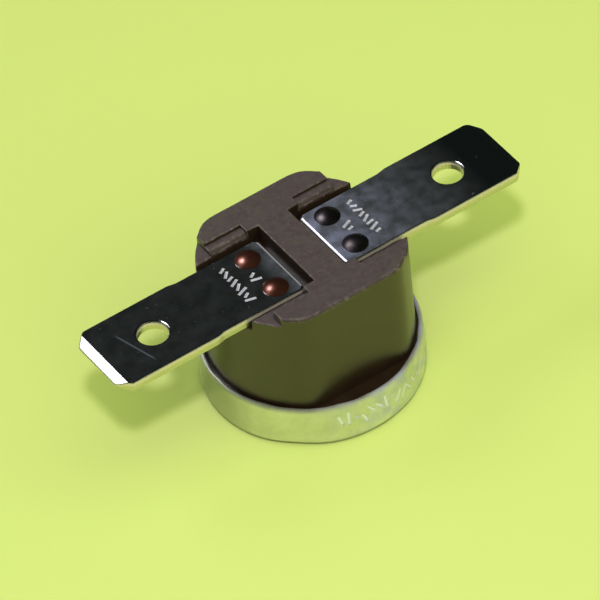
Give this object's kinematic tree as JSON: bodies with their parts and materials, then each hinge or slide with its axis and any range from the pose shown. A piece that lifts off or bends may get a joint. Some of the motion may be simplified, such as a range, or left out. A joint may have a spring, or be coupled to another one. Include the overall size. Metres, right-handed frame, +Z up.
{
  "type": "bimetal disc thermostat",
  "caption": "Low round snap-action bimetal disc thermostat: an aluminium sensing cap under a dark moulded body with flat push-on blade terminals. It opens a circuit when the cap gets hot.",
  "frame": {"origin": "middle of the cap's underside, which is the sensing face", "axes": "+Z up through the body, along the transfer pin; +X along the right-hand terminal; +Y towards the far side of the picture, where the head has its upper ledges"},
  "size_m": [0.034, 0.0158, 0.0119],
  "materials": {
    "drawn_aluminium": "satin",
    "bimetal": "satin",
    "guide_moulding": "matte",
    "ceramic": "satin",
    "phenolic": "satin",
    "plated_blade": "polished",
    "copper_rivet": "satin",
    "plated_rivet": "satin",
    "spring_bronze": "satin",
    "contact_silver": "satin",
    "strip_brass": "satin"
  },
  "bodies": {
    "housing": {"cap": "drawn_aluminium", "bimetal_disc": "bimetal", "pin_guide": "guide_moulding", "body": "phenolic", "terminal_left": "plated_blade", "terminal_right": "plated_blade", "rivet_left_far": "copper_rivet", "rivet_left_near": "copper_rivet", "rivet_right_far": "plated_rivet", "rivet_right_near": "plated_rivet", "contact_arm": "spring_bronze", "fixed_contact": "contact_silver", "contact_bracket": "strip_brass"},
    "pin": {"transfer_pin": "ceramic"},
    "contact": {"moving_contact": "contact_silver"}
  },
  "joints": [
    {"name": "pin_slide", "type": "slide", "parent": "housing", "child": "pin", "axis": [0, 0, 1], "range_m": [0, 0.00035], "stiffness_N_per_m": 200, "springref_m": -0.001, "deforming": ["bimetal_disc"]},
    {"name": "arm_flex", "type": "hinge", "parent": "housing", "child": "contact", "pos_m": [-0.0048, 0, 0.0066], "axis": [0, -1, 0], "range_deg": [0, 3.94], "deforming": ["contact_arm"]}
  ],
  "couplings": [
    {"joint": "arm_flex", "follows": "pin_slide", "rad_per_m": 196.4}
  ]
}
